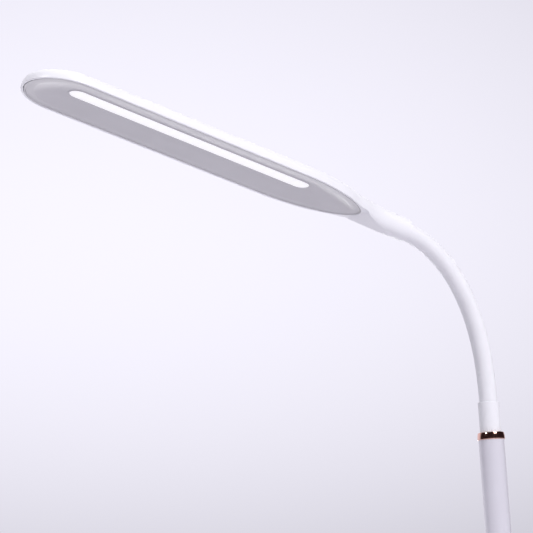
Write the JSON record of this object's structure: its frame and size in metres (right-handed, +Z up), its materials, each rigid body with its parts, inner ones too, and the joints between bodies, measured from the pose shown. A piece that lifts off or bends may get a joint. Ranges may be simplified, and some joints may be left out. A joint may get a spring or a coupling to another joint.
{
  "type": "gooseneck desk lamp",
  "caption": "Slim light head on a flexible neck over a straight pole, with a round weighted base and a push button.",
  "frame": {"origin": "centre of the base's underside, on the desk", "axes": "+Z up; the pole stands behind the centre on +X and the head reaches over the front, towards -X"},
  "size_m": [0.4004, 0.18, 0.5245],
  "materials": {
    "white_head": "satin white moulding",
    "grey_tray": "matt light grey",
    "diffuser_white": "opal, lit from behind",
    "white_inner": "plain white",
    "board_white": "white solder mask",
    "led_yellow": "phosphor",
    "plate_aluminium": "rolled",
    "steel": "zinc plated",
    "silicone_white": "smooth silicone",
    "core_steel": "spring steel",
    "ferrule_white": "satin white",
    "rose_gold": "polished rose-gold plate",
    "pole_white": "gloss white lacquer",
    "bush_metal": "turned",
    "white_base": "gloss white",
    "iron": "rough cast",
    "foot_rubber": "matt",
    "board_green": "green solder mask",
    "part_black": "moulded",
    "white_button": "satin",
    "lead_grey": "PVC sheath"
  },
  "bodies": {
    "stand": {"foot_pad": "foot_rubber", "base_plate": "steel", "plate_screws": "steel", "base_weight": "iron", "base_cover": "white_base", "control_board": "board_green", "board_chips": "part_black", "board_screws": "steel", "inlet_socket": "part_black", "inlet_lead": "lead_grey", "switch_body": "part_black", "pole": "pole_white", "pole_plug": "steel", "pole_washer": "steel", "pole_nut": "steel", "pole_bush": "bush_metal", "bush_set_screw": "steel", "accent_ring": "rose_gold", "neck_ferrule": "ferrule_white", "lamp_lead": "lead_grey", "sleeve_01": "silicone_white", "core_01": "core_steel"},
    "neck_02": {"sleeve_02": "silicone_white", "core_02": "core_steel"},
    "neck_03": {"sleeve_03": "silicone_white", "core_03": "core_steel"},
    "neck_04": {"sleeve_04": "silicone_white", "core_04": "core_steel"},
    "neck_05": {"sleeve_05": "silicone_white", "core_05": "core_steel"},
    "neck_06": {"sleeve_06": "silicone_white", "core_06": "core_steel"},
    "neck_07": {"sleeve_07": "silicone_white", "core_07": "core_steel"},
    "neck_08": {"sleeve_08": "silicone_white", "core_08": "core_steel"},
    "neck_09": {"sleeve_09": "silicone_white", "core_09": "core_steel"},
    "neck_10": {"sleeve_10": "silicone_white", "core_10": "core_steel"},
    "neck_11": {"sleeve_11": "silicone_white", "core_11": "core_steel"},
    "neck_12": {"sleeve_12": "silicone_white", "core_12": "core_steel"},
    "head": {"sleeve_13": "silicone_white", "core_13": "core_steel", "neck_anchor": "bush_metal", "head_shell": "white_head", "head_tray": "grey_tray", "diffuser": "diffuser_white", "light_frame": "white_inner", "led_board": "board_white", "leds": "led_yellow", "heat_plate": "plate_aluminium", "light_screws": "steel", "lead_terminal": "white_inner"},
    "button": {"power_button": "white_button", "switch_plunger": "white_inner"}
  },
  "joints": [
    {"name": "neck_lower_bend", "type": "hinge", "parent": "stand", "child": "neck_02", "pos_m": [0.045, 0, 0.33229], "axis": [0, -1, 0], "range_deg": [-18, 14], "deforming": ["lamp_lead"]},
    {"name": "neck_lower_sway", "type": "hinge", "parent": "neck_02", "child": "neck_03", "pos_m": [0.04451, 0, 0.34426], "axis": [0.9977, 0, 0.0676], "range_deg": [-12, 12]},
    {"name": "neck_lower_bend_2", "type": "hinge", "parent": "neck_03", "child": "neck_04", "pos_m": [0.04338, 0, 0.35619], "axis": [0, -1, 0], "range_deg": [-18, 14]},
    {"name": "neck_lower_sway_2", "type": "hinge", "parent": "neck_04", "child": "neck_05", "pos_m": [0.04147, 0, 0.36802], "axis": [0.9802, 0, 0.1981], "range_deg": [-12, 12]},
    {"name": "neck_lower_bend_3", "type": "hinge", "parent": "neck_05", "child": "neck_06", "pos_m": [0.03864, 0, 0.37967], "axis": [0, -1, 0], "range_deg": [-18, 14]},
    {"name": "neck_lower_sway_3", "type": "hinge", "parent": "neck_06", "child": "neck_07", "pos_m": [0.03476, 0, 0.39101], "axis": [0.9283, 0, 0.3719], "range_deg": [-12, 12]},
    {"name": "neck_upper_bend", "type": "hinge", "parent": "neck_07", "child": "neck_08", "pos_m": [0.02973, 0, 0.40189], "axis": [0, -1, 0], "range_deg": [-18, 14]},
    {"name": "neck_upper_sway", "type": "hinge", "parent": "neck_08", "child": "neck_09", "pos_m": [0.02348, 0, 0.41211], "axis": [0.8182, 0, 0.575], "range_deg": [-12, 12]},
    {"name": "neck_upper_bend_2", "type": "hinge", "parent": "neck_09", "child": "neck_10", "pos_m": [0.01598, 0, 0.42145], "axis": [0, -1, 0], "range_deg": [-18, 14]},
    {"name": "neck_upper_sway_2", "type": "hinge", "parent": "neck_10", "child": "neck_11", "pos_m": [0.00724, 0, 0.42965], "axis": [0.6263, 0, 0.7796], "range_deg": [-12, 12]},
    {"name": "neck_upper_bend_3", "type": "hinge", "parent": "neck_11", "child": "neck_12", "pos_m": [-0.00265, 0, 0.43642], "axis": [0, -1, 0], "range_deg": [-18, 14]},
    {"name": "neck_upper_sway_3", "type": "hinge", "parent": "neck_12", "child": "head", "pos_m": [-0.01352, 0, 0.44147], "axis": [0.3388, 0, 0.9409], "range_deg": [-12, 12]},
    {"name": "button_press", "type": "slide", "parent": "stand", "child": "button", "axis": [0, 0, -1], "range_m": [0, 0.001], "stiffness_N_per_m": 250, "springref_m": -0.004}
  ],
  "couplings": [
    {"joint": "neck_lower_bend_2", "follows": "neck_lower_bend", "ratio": 1},
    {"joint": "neck_lower_sway_2", "follows": "neck_lower_sway", "ratio": 1},
    {"joint": "neck_lower_bend_3", "follows": "neck_lower_bend", "ratio": 1},
    {"joint": "neck_lower_sway_3", "follows": "neck_lower_sway", "ratio": 1},
    {"joint": "neck_upper_bend_2", "follows": "neck_upper_bend", "ratio": 1},
    {"joint": "neck_upper_sway_2", "follows": "neck_upper_sway", "ratio": 1},
    {"joint": "neck_upper_bend_3", "follows": "neck_upper_bend", "ratio": 1},
    {"joint": "neck_upper_sway_3", "follows": "neck_upper_sway", "ratio": 1}
  ]
}
